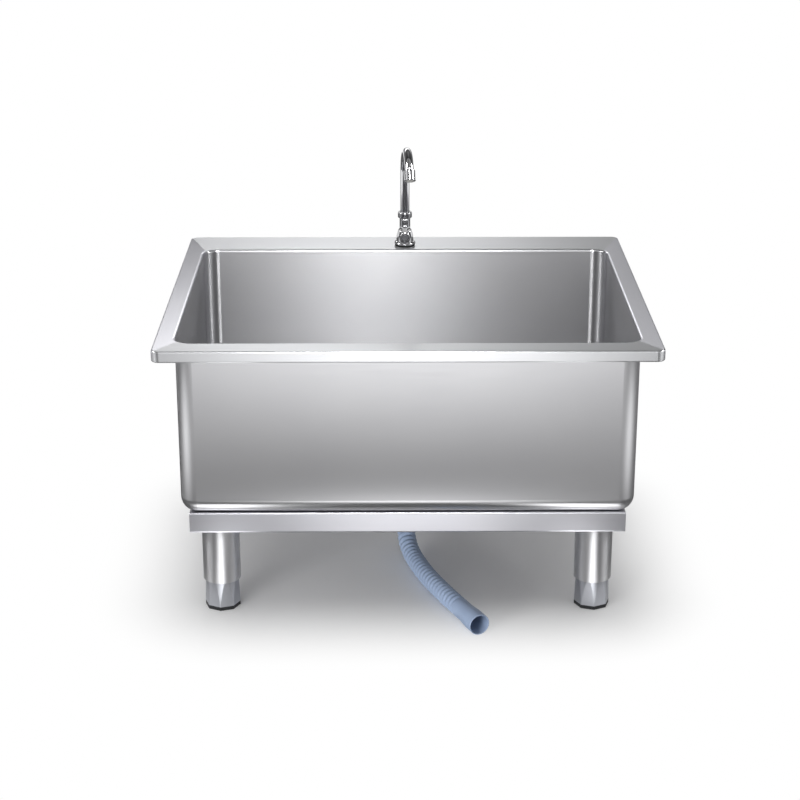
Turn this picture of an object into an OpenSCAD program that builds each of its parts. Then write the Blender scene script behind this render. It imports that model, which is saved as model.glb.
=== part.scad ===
// Mop service sink: a deep pressed bowl hung in a mitred rim, carried by a folded base
// frame on four levelling feet, with a swan-neck tap and a ribbed drain hose.
// Millimetres. The origin is on the floor under the centre of the rim, +X is to the
// right, +Y to the back and +Z up.

/* [Rim] */
// Width of the rim over its side lips
rim_w = 900; // [820:10:1100]
// Depth of the rim, front to back
rim_d = 760; // [700:10:900]
// Height of the rim's top face above the floor
rim_top = 540; // [520:5:650]
// Width of the ledge in front of the bowl
ledge_front = 50; // [40:1:80]
// Width of the ledge behind the bowl, which carries the tap
ledge_rear = 102; // [90:1:140]
// Width of the ledge at each side
ledge_side = 36.5; // [30:0.5:80]
// Height of the turned-down lip
lip_h = 21; // [16:1:40]
// Width of the return folded in under the lip
lip_return = 9; // [5:1:10]
// Thickness of the rim's sheet
rim_t = 1.5; // [1:0.1:2.5]
// Outside radius of the lip's two folds
lip_bend = 3; // [2.6:0.1:4]
// Radius of the rim's corners, seen from above
rim_corner_r = 15; // [14:1:25]
// Radius of the rolled edge round the opening
edge_r = 5; // [3:0.5:6]

/* [Bowl] */
// Depth from the rim's top face to the bowl's underside
bowl_depth = 332; // [250:2:340]
// Thickness of the bowl's sheet
bowl_t = 1.5; // [1:0.1:2.5]
// Inside radius of the bowl's upright corners
bowl_corner_r = 30; // [29:1:60]
// Inside radius between the walls and the floor
bowl_floor_r = 28; // [15:1:28]
// How far the creased floor falls to the drain
floor_fall = 6; // [3:0.5:10]
// Depth of the round recess that seats the drain flange
recess_depth = 4; // [3:0.5:6]

/* [Base frame] */
// How far the frame's sides stand in from the bowl's sides
frame_inset_side = 13.5; // [4:0.5:30]
// How far the frame's front and back stand in from the bowl's
frame_inset_front = 12; // [4:1:30]
// Height of the frame's apron
frame_h = 40; // [32:1:60]
// Thickness of the frame's sheet
frame_t = 2; // [1.5:0.1:3]
// Width of the flange that carries the bowl
frame_flange = 35; // [25:1:40]
// Width of the return folded in under the apron
frame_return = 12; // [8:1:14]
// Outside radius of the frame's folds
frame_bend = 3.5; // [3.2:0.1:5]
// Distance of each bearer from the middle of the sink
bearer_x = 200; // [120:5:250]
// Width of a bearer
bearer_w = 40; // [25:1:60]
// Height of a bearer
bearer_h = 24; // [15:1:25]
// Thickness of a bearer's sheet
bearer_t = 2; // [1.2:0.1:3]
// Length of the rubber pad on each bearer
pad_strip_l = 300; // [100:10:360]
// Width of the rubber pad on each bearer
pad_strip_w = 30; // [15:1:38]
// Side of a corner gusset
gusset_side = 118; // [112:1:130]
// Thickness of a gusset
gusset_t = 3; // [2:0.5:5]

/* [Legs] */
// Distance of a leg's axis from the frame's outer faces
leg_inset = 52; // [52:1:64]
// Diameter of a leg tube
leg_d = 70; // [50:1:72]
// Wall of a leg tube
leg_t = 1.5; // [1:0.1:3]
// Height of a leg tube's lower end above the floor
leg_bottom = 57; // [45:1:60]
// Wall of the socket collar round a leg tube
socket_wall = 3; // [2:0.5:4]
// Length of the socket collar
socket_l = 28; // [15:1:30]
// Thickness of the socket's plate
socket_plate_t = 3; // [2:0.5:5]
// Side of the socket's plate
socket_side = 86; // [84:1:96]
// Distance between the studs that hold a socket
stud_pitch = 68; // [66:1:70]
// Diameter of a stud
stud_d = 8; // [6:1:8]
// Thickness of the threaded insert in a leg tube
insert_h = 16; // [10:1:20]
// Height of the insert above the leg tube's lower end
insert_up = 61; // [58:1:64]
// Diameter of a foot's threaded stem
stem_d = 16; // [10:1:20]
// Height of a stem's upper end above the floor
stem_top = 160; // [150:1:170]
// Diameter of a foot at its upper end
foot_d = 61.2; // [40:0.2:62]
// Height of a foot's closed upper end above the floor
foot_top = 92; // [85:1:95]
// Width of a foot's eight-sided base across its corners
foot_base_d = 66; // [64:1:66]
// Wall of a foot
foot_t = 2; // [1.5:0.5:3]
// Thickness of the pad under a foot
pad_h = 7; // [3:0.5:8]
// Turn of the eight-sided base from square
foot_turn = 4; // [0:1:22]

/* [Drain] */
// Distance of the drain behind the middle of the bowl
drain_back = 44; // [20:1:80]
// Diameter of the drain hole in the bowl
drain_hole_d = 92; // [90:1:96]
// Diameter of the strainer's flange
strainer_d = 114; // [108:1:120]
// Thickness of the strainer's sheet
strainer_t = 1.5; // [1:0.1:2]
// Depth of the strainer's cup below its flange
cup_depth = 25; // [22:1:28]
// Clearance round the cup in the drain hole
cup_gap = 1.5; // [1:0.1:3]
// Thickness of the gasket over the bowl's sheet
gasket_top_t = 1.5; // [1:0.1:2]
// Thickness of the gasket under the bowl's sheet
gasket_low_t = 2.5; // [1.5:0.1:4]
// Thickness of the ring between the lower gasket and the locknut
slip_ring_t = 1.5; // [1:0.1:2.5]
// Height of the locknut
locknut_h = 11; // [8:1:12]
// Number of lugs on the locknut
locknut_lugs = 8; // [4:1:12]
// Outside diameter of the outlet neck
neck_d = 38; // [34:1:44]
// Length of the outlet neck
neck_l = 22; // [18:1:26]
// Height of the basket's wall
basket_h = 19; // [12:1:20]
// Thickness of the basket's sheet
basket_t = 1; // [0.6:0.1:1.5]
// Clearance between the basket's lip and the cup
basket_gap = 1; // [0.5:0.1:2]
// Number of slots round the basket's wall
basket_slots = 24; // [12:2:32]
// Width of a slot in the basket
slot_w = 2.5; // [1.5:0.1:3.5]
// Diameter of the basket's rubber plug
plug_d = 44; // [41:1:50]
// Diameter of the basket's knob
knob_d = 18; // [12:1:24]

/* [Drain hose] */
// Outside diameter of the hose over its ribs
hose_d = 36; // [34:0.5:38]
// Depth of the grooves between the ribs
rib_depth = 2; // [1:0.1:2.5]
// Distance from rib to rib
rib_pitch = 12; // [8:0.5:16]
// Diameter of the hose's bore
hose_bore_d = 27; // [26:1:28]
// Outside diameter of the elbow
elbow_d = 29; // [26:1:33]
// Diameter of the elbow's bore
elbow_bore_d = 20; // [16:1:22]
// Radius of the elbow's centreline
elbow_r = 24; // [20:1:30]
// How far in front of the drain's axis the elbow's outlet is
elbow_throw = 10; // [9:1:30]
// Height of the elbow's outlet above the floor
elbow_out = 88; // [80:1:96]
// Length of the spigot inside the hose
spigot_l = 30; // [20:1:34]
// Diameter over the spigot's barbs
spigot_d = 24.6; // [22:0.1:24.8]
// Length of the smooth cuff on the hose's free end
cuff_l = 79; // [60:1:90]
// Outside diameter of the cuff's mouth
cuff_d = 40; // [38:0.5:42]
// Bore of the cuff's mouth
cuff_bore_d = 36; // [34:0.5:37]
// Width of the hose clamp's band
clamp_w = 9; // [6:1:12]

/* [Tap] */
// Distance of the tap's axis in front of the rim's rear face
tap_back = 64; // [58:1:70]
// Diameter of the tap's base
tap_base_d = 43; // [40:0.5:50]
// Radius of the tap's body just above its base
tap_body_r = 17.5; // [16.5:0.1:18]
// Diameter of the tap's neck
tap_neck_d = 22; // [21:0.1:23]
// Height of the valve's axis above the deck
valve_up = 27.5; // [24:0.5:29]
// Diameter of the boss that holds the valve
valve_boss_d = 26; // [24:0.5:28]
// Distance of the boss's face in front of the tap's axis
valve_boss_l = 22; // [20:0.5:26]
// Height of the body's threaded top above the deck
body_top = 63.5; // [62:0.5:66]
// Diameter of the threaded shank, half-inch pipe thread
shank_d = 20.96; // [18:0.01:21]
// Length of the shank below the deck
shank_l = 50; // [45:1:70]
// Width of the stiffener under the deck
stiffener_w = 100; // [60:5:200]
// Thickness of the stiffener under the deck
stiffener_t = 2; // [1:0.5:4]
// Length of the lever above the valve's axis
lever_l = 39.5; // [32:0.5:45]
// Diameter of the lever's hub
lever_hub_d = 20; // [18:0.5:24]
// Outside diameter of the spout
spout_d = 18.5; // [16:0.5:19]
// Wall of the spout
spout_t = 1.25; // [1:0.05:2]
// Height of the middle of the spout's arch above the deck
arch_up = 157; // [100:1:200]
// Radius of the arch
arch_r = 49; // [35:1:70]
// Angle that the arch turns through
arch_turn = 152; // [120:1:180]
// Length of the straight tip after the arch
spout_tip = 9; // [8:0.5:20]
// Swing of the spout to the right
spout_swing = 5; // [0:1:30]
// Height of the nut that holds the spout
spout_nut_h = 13; // [12:0.5:16]
// Diameter of the nut that holds the spout
spout_nut_d = 29; // [28.5:0.5:32]
// Length of the aerator
aerator_l = 22; // [18:1:30]
// Diameter of the aerator
aerator_d = 24; // [23:0.5:28]

/* [Fits] */
// Radial clearance of a part that turns or slides in another
running_gap = 0.05; // [0.02:0.01:0.1]
// Radial clearance of a bolt or screw in its hole
thread_gap = 0.1; // [0.05:0.05:0.3]
// Clearance between pieces that must not touch
free_gap = 0.3; // [0.2:0.05:0.5]

/* [Hidden] */
$fn = 96;

// Bowl and rim
bowl_w = rim_w - 2 * ledge_side;
bowl_d = rim_d - ledge_front - ledge_rear;
bowl_y = (ledge_front - ledge_rear) / 2;
// How far the rolled edge's flat tail lies in the sheet
edge_lap = 2;
bowl_base = rim_top - bowl_depth;
// Flat border that lies on the frame's flange, from the wall's inside to the creases
border = max(frame_inset_side, frame_inset_front) + frame_flange + 4;
// Drain and the creased floor round it: the floor's runs to the right, back, left, front
drain_y = bowl_y + drain_back;
run_side = bowl_w / 2 - border;
floor_runs = [
    run_side,
    bowl_d / 2 - border - drain_back,
    run_side,
    bowl_d / 2 - border + drain_back
];
drain_hole_r = drain_hole_d / 2;
recess_r = strainer_d / 2 + 2;
recess_z = bowl_base - floor_fall - recess_depth + bowl_t;

// Base frame
frame_w = bowl_w - 2 * frame_inset_side;
frame_d = bowl_d - 2 * frame_inset_front;
frame_z = bowl_base - frame_h;
gusset_z = bowl_base - frame_t - gusset_t;
bearer_z = frame_z + frame_t + 4;

// Legs and feet
leg_r = leg_d / 2;
socket_z = gusset_z - socket_plate_t;
collar_r = leg_r + free_gap + socket_wall;
stud_r = stud_d / 2;
stud_l = 14;
nut_h = 6.5;
washer_t = 1.6;
grub_z = socket_z - socket_l / 2;
insert_z = leg_bottom + insert_up;
stem_r = stem_d / 2;
foot_bevel = 3;
foot_crown = 5;
pad_plug_l = 8;

// Drain
cup_r = drain_hole_r - cup_gap;
cup_fold = 4;
seat_inner_r = cup_r - strainer_t + cup_fold;
flange_z = recess_z + gasket_top_t;
cup_z = flange_z - cup_depth;
cup_floor = cup_z + strainer_t;
neck_r = neck_d / 2;
neck_z = cup_z - neck_l;
neck_bore_r = neck_r - strainer_t;
under_sheet = recess_z - bowl_t;
slip_ring_z = under_sheet - gasket_low_t - slip_ring_t;
locknut_z = slip_ring_z - locknut_h;
seat_outer_r = strainer_d / 2 - 1;
plug_t = 2.5;
basket_z = cup_floor + plug_t;
basket_r = cup_r - strainer_t - basket_gap - 2;

// Elbow and hose
elbow_turn = 45;
elbow_ro = elbow_d / 2;
elbow_leg = (elbow_throw - elbow_r * (1 - cos(elbow_turn))) / sin(elbow_turn);
elbow_bend_z = elbow_out + elbow_r * sin(elbow_turn) + elbow_leg * cos(elbow_turn);
elbow_top = neck_z + 10;
cone_t = 4;
coupling_l = 20;
coupling_floor = 4;
coupling_z = neck_z - cone_t - coupling_floor;
hose_r = hose_d / 2;
hose_bore_r = hose_bore_d / 2;
hose_plain_r = hose_r - rib_depth / 2;
hose_ring_sides = 12;
hose_smooth = 24;
hose_last = 3;
// The hose's route, chosen by hand: out of the elbow, down to the floor, then forward
ROUTE = [
    [0, 8, 88], [0, -2, 78], [0, -12, 68], [0, -23, 57], [0, -42, 42.5], [3, -62, 31],
    [9, -85, 22.5], [16.5, -110, 18.5], [25, -139, 18], [34, -170, 18], [45, -201, 18],
    [57, -231, 18], [69, -260, 18.5], [79, -286, 19.5], [85.5, -301, 20],
    [91.5, -314, 20], [97.5, -327, 20]
];

// Tap
tap_y = rim_d / 2 - tap_back;
gasket_t = 1.5;
neck_tap_r = tap_neck_d / 2;
shank_r = shank_d / 2;
deck_hole_r = shank_r + 0.6;
deck_under = -rim_t - stiffener_t;
washer_tap_t = 3;
backnut_h = 9;
shank_upper = 30;
cartridge_r = 9;
cartridge_l = 20;
spindle_r = 4;
bonnet_l = 6;
hub_gap = 1;
hub_back = valve_boss_l + bonnet_l + hub_gap;
hub_l = 11;
drive_r = 3.4;
drive_l = 4;
socket_r = 8.05;
spigot_r = socket_r - running_gap;
tail_z = valve_up + cartridge_r + 4;
tail_collar_t = 3;
tail_collar_r = 11.3;
spout_r = spout_d / 2;
thread_r = 12;
spout_nut_z = body_top - 5;
o_ring_r = 0.95;
aerator_grip = 8;
insert_t = 8;

// ---------------------------------------------------------------- shared shapes

// A quarter of a disc, in the +X +Y quadrant
module quarter_disc(r) {
    intersection() {
        circle(r);
        square(r);
    }
}

// A quarter of a ring, in the +X +Y quadrant: the section of one fold
module fold(r_out, t) {
    intersection() {
        difference() {
            circle(r_out);
            circle(r_out - t);
        }
        square(r_out);
    }
}

// A rectangle with round corners, made of pieces that meet edge to edge
module round_rect(w, d, r) {
    half = [w / 2 - r, d / 2 - r];
    square([2 * half[0], 2 * (half[1] + r)], center = true);
    square([2 * (half[0] + r), 2 * half[1]], center = true);
    for (k = [0:3])
        rotate(90 * k)
            translate([half[k % 2], half[(k + 1) % 2]])
                quarter_disc(r);
}

// Carries a section round a w by d rectangle with corners of radius r: the section's
// X is counted from the corner's axis, and its Y is the height
module sweep_rect(w, d, r) {
    half = [w / 2 - r, d / 2 - r];
    for (k = [0:3])
        rotate(90 * k) {
            translate([half[k % 2], half[(k + 1) % 2], 0])
                rotate_extrude(angle = 90)
                    children();
            translate([half[k % 2], 0, 0])
                rotate([90, 0, 0])
                    linear_extrude(2 * half[(k + 1) % 2], center = true)
                        children();
        }
}

// A flat ring standing on z
module ring(r_out, r_in, h, z = 0) {
    translate([0, 0, z])
        difference() {
            cylinder(r = r_out, h = h);
            translate([0, 0, -1])
                cylinder(r = r_in, h = h + 2);
        }
}

// A hexagon nut standing on z, measured across its flats
module hex_nut(flats, bore_r, h) {
    difference() {
        cylinder(d = flats / cos(30), h = h, $fn = 6);
        translate([0, 0, -1])
            cylinder(r = bore_r, h = h + 2);
    }
}

module at_drain() {
    translate([0, drain_y, 0])
        children();
}

module at_tap() {
    translate([0, tap_y, rim_top])
        children();
}

// ---------------------------------------------------------------- rim

// Outer corners of the rim and the corners of its opening, from front left round
rim_corners = [
    [-rim_w / 2, -rim_d / 2], [rim_w / 2, -rim_d / 2],
    [rim_w / 2, rim_d / 2], [-rim_w / 2, rim_d / 2]
];
bowl_corners = [
    [-bowl_w / 2, bowl_y - bowl_d / 2], [bowl_w / 2, bowl_y - bowl_d / 2],
    [bowl_w / 2, bowl_y + bowl_d / 2], [-bowl_w / 2, bowl_y + bowl_d / 2]
];

// A point on the mitre line of a corner: 0 at the rim's corner, 1 at the opening's
function mitre(corner, along) =
    let (k = corner % 4)
    rim_corners[k] + along * (bowl_corners[k] - rim_corners[k]);

// The lip: ledge, fold, turned-down face, fold and return, counted in from its face
module lip_section() {
    translate([lip_bend, -rim_t])
        square([rim_corner_r - lip_bend, rim_t]);
    translate([lip_bend, -lip_bend])
        mirror([1, 0])
            fold(lip_bend, rim_t);
    translate([0, lip_bend - lip_h])
        square([rim_t, lip_h - 2 * lip_bend]);
    translate([lip_bend, lip_bend - lip_h])
        rotate(180)
            fold(lip_bend, rim_t);
    translate([lip_bend, -lip_h])
        square([lip_return, rim_t]);
}

module rim_sheet() {
    sweep_rect(rim_w, rim_d, rim_corner_r)
        translate([rim_corner_r, 0])
            mirror([1, 0])
                lip_section();
    translate([0, 0, -rim_t])
        linear_extrude(rim_t)
            difference() {
                square(
                    [rim_w - rim_corner_r - lip_bend, rim_d - rim_corner_r - lip_bend],
                    center = true
                );
                translate([0, bowl_y])
                    round_rect(
                        bowl_w + 2 * edge_r,
                        bowl_d + 2 * edge_r,
                        bowl_corner_r + edge_r
                    );
            }
    translate([0, bowl_y, 0])
        sweep_rect(bowl_w, bowl_d, bowl_corner_r) {
            translate([bowl_corner_r + edge_r, -edge_r])
                mirror([1, 0])
                    fold(edge_r, rim_t);
            translate([bowl_corner_r + edge_r, -rim_t])
                square([edge_lap, rim_t]);
        }
}

// One of the rim's four strips, cut from the sheet along the mitre lines
module rim_strip(corner) {
    color("gainsboro")
        translate([0, 0, rim_top])
            intersection() {
                rim_sheet();
                translate([0, 0, -lip_h - 1])
                    linear_extrude(lip_h + 2)
                        polygon([
                            mitre(corner, -0.2), mitre(corner + 1, -0.2),
                            mitre(corner + 1, 1.6), mitre(corner, 1.6)
                        ]);
            }
}

module rim_rear() {
    color("gainsboro")
        difference() {
            rim_strip(2);
            at_tap()
                translate([0, 0, -rim_t - 1])
                    cylinder(r = deck_hole_r, h = rim_t + 2);
        }
}

// Plate under the rear ledge, from the rolled edge to the lip's return, so that the
// thin deck carries the tap
module tap_stiffener() {
    margin = 3;
    front = bowl_y + bowl_d / 2 + edge_r + margin;
    back = rim_d / 2 - lip_bend - lip_return - margin;
    color("silver")
        difference() {
            translate([-stiffener_w / 2, front, rim_top + deck_under])
                cube([stiffener_w, back - front, stiffener_t]);
            at_tap()
                translate([0, 0, deck_under - 1])
                    cylinder(r = deck_hole_r, h = stiffener_t + 2);
        }
}

// ---------------------------------------------------------------- bowl

// Wall, floor radius and floor edge, counted out from the upright corner's axis
module bowl_section() {
    wall_foot = bowl_t + bowl_floor_r;
    translate([bowl_corner_r, wall_foot])
        square([bowl_t, bowl_depth - edge_r - wall_foot]);
    translate([bowl_corner_r - bowl_floor_r, wall_foot])
        mirror([0, 1])
            fold(wall_foot, bowl_t);
    square([bowl_corner_r - bowl_floor_r, bowl_t]);
}

// The creased floor between two heights over its underside: four flat panels that
// fall from the border to the drain and meet along creases to the corners
module floor_slab(low, high) {
    for (k = [0:3]) {
        run = floor_runs[k];
        reach = max(bowl_w, bowl_d);
        rotate(90 * k)
            intersection() {
                rotate([90, 0, 0])
                    linear_extrude(2 * reach, center = true)
                        polygon([
                            [0, low - floor_fall], [run, low],
                            [run, high], [0, high - floor_fall]
                        ]);
                translate([0, 0, -reach / 2])
                    linear_extrude(reach)
                        polygon([
                            [0, 0],
                            [run, -floor_runs[(k + 3) % 4]],
                            [run, floor_runs[(k + 1) % 4]]
                        ]);
            }
    }
}

// The round recess pressed into the floor at the drain
module recess_dish() {
    dish_h = recess_depth + floor_fall + bowl_t;
    difference() {
        intersection() {
            translate([0, 0, bowl_base])
                floor_slab(-recess_depth - 5, bowl_t);
            translate([0, 0, recess_z - bowl_t])
                cylinder(r = recess_r + bowl_t, h = dish_h);
        }
        translate([0, 0, recess_z])
            cylinder(r = recess_r, h = dish_h);
        translate([0, 0, recess_z - bowl_t - 1])
            cylinder(r = drain_hole_r, h = dish_h);
    }
}

module bowl() {
    color("lightgray") {
        translate([0, bowl_y, bowl_base]) {
            sweep_rect(bowl_w, bowl_d, bowl_corner_r)
                bowl_section();
            linear_extrude(bowl_t)
                difference() {
                    square(
                        [2 * (bowl_w / 2 - bowl_corner_r), 2 * (bowl_d / 2 - bowl_corner_r)],
                        center = true
                    );
                    square([bowl_w - 2 * border, bowl_d - 2 * border], center = true);
                }
        }
        at_drain() {
            difference() {
                translate([0, 0, bowl_base])
                    floor_slab(0, bowl_t);
                translate([0, 0, recess_z - bowl_t])
                    cylinder(r = recess_r, h = 2 * (recess_depth + floor_fall + bowl_t));
            }
            recess_dish();
        }
    }
}

// ---------------------------------------------------------------- base frame

// Flange, apron and return of a frame rail, counted in from its outer face
module rail_section() {
    translate([frame_bend, frame_h - frame_t])
        square([frame_flange - frame_bend, frame_t]);
    translate([frame_bend, frame_h - frame_bend])
        mirror([1, 0])
            fold(frame_bend, frame_t);
    translate([0, frame_bend])
        square([frame_t, frame_h - 2 * frame_bend]);
    translate([frame_bend, frame_bend])
        rotate(180)
            fold(frame_bend, frame_t);
    translate([frame_bend, 0])
        square([frame_return - frame_bend, frame_t]);
}

// A rail of the frame: 0 front, 1 right, 2 rear, 3 left, mitred at both ends
module frame_rail(k) {
    length = k % 2 == 0 ? frame_w : frame_d;
    stand_off = k % 2 == 0 ? frame_d / 2 : frame_w / 2;
    end = length / 2;
    color("silver")
        translate([0, bowl_y, frame_z])
            rotate(90 * k)
                translate([0, -stand_off, 0])
                    intersection() {
                        rotate([90, 0, 90])
                            linear_extrude(length, center = true)
                                rail_section();
                        translate([0, 0, -1])
                            linear_extrude(frame_h + 2)
                                polygon([
                                    [-end, 0], [end, 0],
                                    [end - frame_flange, frame_flange],
                                    [frame_flange - end, frame_flange]
                                ]);
                    }
}

// Two channels, open below, welded between the front and rear aprons
module frame_bearers() {
    length = frame_d - 2 * frame_t;
    color("silver")
        for (side = [-1, 1])
            translate([side * bearer_x, bowl_y, bearer_z])
                rotate([90, 0, 0])
                    linear_extrude(length, center = true)
                        difference() {
                            translate([-bearer_w / 2, 0])
                                square([bearer_w, bearer_h]);
                            translate([bearer_t - bearer_w / 2, -1])
                                square([bearer_w - 2 * bearer_t, bearer_h + 1 - bearer_t]);
                        }
}

// Rubber strips from the bearers up to the floor, cut to its fall
module bearer_pads() {
    bearer_top = bearer_z + bearer_h;
    color("dimgray")
        for (side = [-1, 1])
            intersection() {
                translate([
                    side * bearer_x - pad_strip_w / 2,
                    drain_y - pad_strip_l / 2,
                    bearer_top
                ])
                    cube([pad_strip_w, pad_strip_l, bowl_base - bearer_top]);
                at_drain()
                    translate([0, 0, bowl_base])
                        floor_slab(bearer_top - bowl_base - floor_fall - 5, 0);
            }
}

// Puts a child at each corner of the frame, with +X and +Y pointing inwards
module each_corner() {
    for (x = [0, 1], y = [0, 1])
        at_corner(x, y)
            children();
}

module at_corner(x, y) {
    translate([(2 * x - 1) * frame_w / 2, bowl_y + (2 * y - 1) * frame_d / 2, 0])
        mirror([x, 0, 0])
            mirror([0, y, 0])
                children();
}

// Puts a child at the four studs round a leg's axis
module each_stud() {
    for (x = [-1, 1], y = [-1, 1])
        translate([leg_inset + x * stud_pitch / 2, leg_inset + y * stud_pitch / 2, 0])
            children();
}

// Corner plates under the flanges, with four welded studs each
module corner_gussets() {
    near = frame_bend + 0.5;
    far = near + gusset_side;
    cut = 30;
    color("silver")
        each_corner() {
            translate([0, 0, gusset_z])
                linear_extrude(gusset_t)
                    polygon([
                        [near, near], [far, near], [far, far - cut],
                        [far - cut, far], [near, far]
                    ]);
            each_stud()
                translate([0, 0, gusset_z - stud_l])
                    cylinder(r = stud_r, h = stud_l);
        }
}

// ---------------------------------------------------------------- legs

// Plate and collar that a leg tube stands in, bolted under each gusset
module leg_sockets() {
    color("silver")
        each_corner()
            difference() {
                union() {
                    translate([
                        leg_inset - socket_side / 2,
                        leg_inset - socket_side / 2,
                        socket_z
                    ])
                        cube([socket_side, socket_side, socket_plate_t]);
                    translate([leg_inset, leg_inset, 0])
                        ring(collar_r, leg_r + free_gap, socket_l, socket_z - socket_l);
                }
                each_stud()
                    translate([0, 0, socket_z - 1])
                        cylinder(r = stud_r + 4 * thread_gap, h = socket_plate_t + 2);
                translate([leg_inset, leg_inset, grub_z])
                    rotate([90, 0, -45])
                        translate([0, 0, -collar_r - 1])
                            cylinder(r = stud_r + thread_gap, h = collar_r);
            }
}

module socket_washers() {
    color("gray")
        each_corner()
            each_stud()
                ring(stud_r + 3.5, stud_r + 3 * thread_gap, washer_t, socket_z - washer_t);
}

module socket_nuts() {
    color("gray")
        each_corner()
            each_stud()
                translate([0, 0, socket_z - washer_t - nut_h])
                    hex_nut(1.6 * stud_d, stud_r + thread_gap, nut_h);
}

// Screws through the collars' inner sides that stop the leg tubes turning
module leg_grub_screws() {
    color("dimgray")
        each_corner()
            translate([leg_inset, leg_inset, grub_z])
                rotate([90, 0, -45])
                    translate([0, 0, -collar_r - 2])
                        difference() {
                            cylinder(r = stud_r, h = collar_r + 2 - leg_r - thread_gap);
                            translate([0, 0, -1])
                                cylinder(d = stud_d / 2, h = 4, $fn = 6);
                        }
}

module leg_tube(x, y) {
    color("lightgray")
        at_corner(x, y)
            translate([leg_inset, leg_inset, 0])
                ring(leg_r, leg_r - leg_t, socket_z - leg_bottom, leg_bottom);
}

// Threaded plugs pressed into the leg tubes for the feet to screw into
module leg_inserts() {
    color("dimgray")
        each_corner()
            translate([leg_inset, leg_inset, 0])
                ring(leg_r - leg_t - thread_gap, stem_r + running_gap, insert_h, insert_z);
}

// A foot: a tube that widens to an eight-sided base for a spanner, and a welded stem
module foot_shell(x, y) {
    top_r = foot_d / 2;
    base_r = foot_base_d / 2;
    color("lightgray")
        at_corner(x, y)
            translate([leg_inset, leg_inset, 0])
                rotate(-foot_turn) {
                    difference() {
                        intersection() {
                            rotate_extrude()
                                polygon([
                                    [0, pad_h], [base_r, pad_h], [top_r, leg_bottom],
                                    [top_r, foot_top - foot_bevel],
                                    [top_r - foot_bevel, foot_top],
                                    [0, foot_top]
                                ]);
                            rotate(90)
                                cylinder(r = base_r, h = foot_top + 1, $fn = 8);
                        }
                        translate([0, 0, pad_h - 1])
                            cylinder(r = top_r - foot_t, h = foot_top - foot_crown - pad_h + 1);
                    }
                    translate([0, 0, foot_top])
                        cylinder(r = stem_r, h = stem_top - foot_top);
                }
}

// A black pad plugged into the base of a foot
module foot_pad(x, y) {
    color("black")
        at_corner(x, y)
            translate([leg_inset, leg_inset, 0])
                rotate(90 - foot_turn) {
                    cylinder(r = foot_base_d / 2, h = pad_h, $fn = 8);
                    translate([0, 0, pad_h])
                        cylinder(r = foot_d / 2 - foot_t - free_gap, h = pad_plug_l);
                }
}

// ---------------------------------------------------------------- drain

// Flange, cup and outlet neck, pressed and welded as one piece
module drain_flange() {
    heel = 6;
    flange_r = strainer_d / 2;
    color("silver")
        at_drain()
            rotate_extrude() {
                translate([seat_inner_r, flange_z])
                    square([flange_r - cup_r + strainer_t - cup_fold, strainer_t]);
                translate([seat_inner_r, flange_z + strainer_t - cup_fold])
                    mirror([1, 0])
                        fold(cup_fold, strainer_t);
                translate([cup_r - strainer_t, cup_z + heel])
                    square([strainer_t, cup_depth + strainer_t - cup_fold - heel]);
                translate([cup_r - heel, cup_z + heel])
                    mirror([0, 1])
                        fold(heel, strainer_t);
                translate([neck_r - strainer_t, cup_z])
                    square([cup_r - heel - neck_r + strainer_t, strainer_t]);
                translate([neck_r - strainer_t, neck_z])
                    square([strainer_t, neck_l]);
            }
}

module drain_gasket_top() {
    color("dimgray")
        at_drain()
            ring(seat_outer_r, seat_inner_r, gasket_top_t, recess_z);
}

module drain_gasket_low() {
    color("dimgray")
        at_drain()
            ring(seat_outer_r, cup_r + free_gap, gasket_low_t, under_sheet - gasket_low_t);
}

module drain_slip_ring() {
    color("white")
        at_drain()
            ring(seat_outer_r, cup_r + free_gap, slip_ring_t, slip_ring_z);
}

// The big nut that draws the flange down, with lugs for the fitter's hands
module drain_locknut() {
    color("white")
        at_drain()
            difference() {
                union() {
                    translate([0, 0, locknut_z])
                        cylinder(r = seat_outer_r - 3, h = locknut_h);
                    for (k = [0:locknut_lugs - 1])
                        rotate(360 / locknut_lugs * k)
                            translate([seat_outer_r - 6, -4, locknut_z])
                                cube([7, 8, locknut_h - 3]);
                }
                translate([0, 0, locknut_z - 1])
                    cylinder(r = cup_r + thread_gap, h = locknut_h + 2);
            }
}

// Basket with slots all round its wall and across its floor
module strainer_basket() {
    heel = 3;
    lip_r = basket_r + 2;
    floor_slots = basket_slots / 2;
    slot_out = basket_r - heel - 4;
    slot_in = knob_d / 2 + 3;
    color("silver")
        at_drain()
            difference() {
                rotate_extrude() {
                    translate([basket_r - basket_t, basket_z + basket_h - basket_t])
                        square([lip_r - basket_r + basket_t, basket_t]);
                    translate([basket_r - basket_t, basket_z + heel])
                        square([basket_t, basket_h - heel]);
                    translate([basket_r - heel, basket_z + heel])
                        mirror([0, 1])
                            fold(heel, basket_t);
                    translate([3 + thread_gap, basket_z])
                        square([basket_r - heel - 3 - thread_gap, basket_t]);
                }
                for (k = [0:basket_slots - 1])
                    rotate(360 / basket_slots * k)
                        translate([basket_r - heel, -slot_w / 2, basket_z + heel + 2])
                            cube([heel + 1, slot_w, basket_h - heel - 6]);
                for (k = [0:floor_slots - 1])
                    rotate(360 / floor_slots * k)
                        translate([slot_in, -slot_w / 2, basket_z - 1])
                            cube([slot_out - slot_in, slot_w, basket_t + 2]);
            }
}

// Rubber disc under the basket that closes the outlet
module basket_plug() {
    color("black")
        at_drain()
            ring(plug_d / 2, 3 + thread_gap, plug_t, cup_floor);
}

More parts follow.
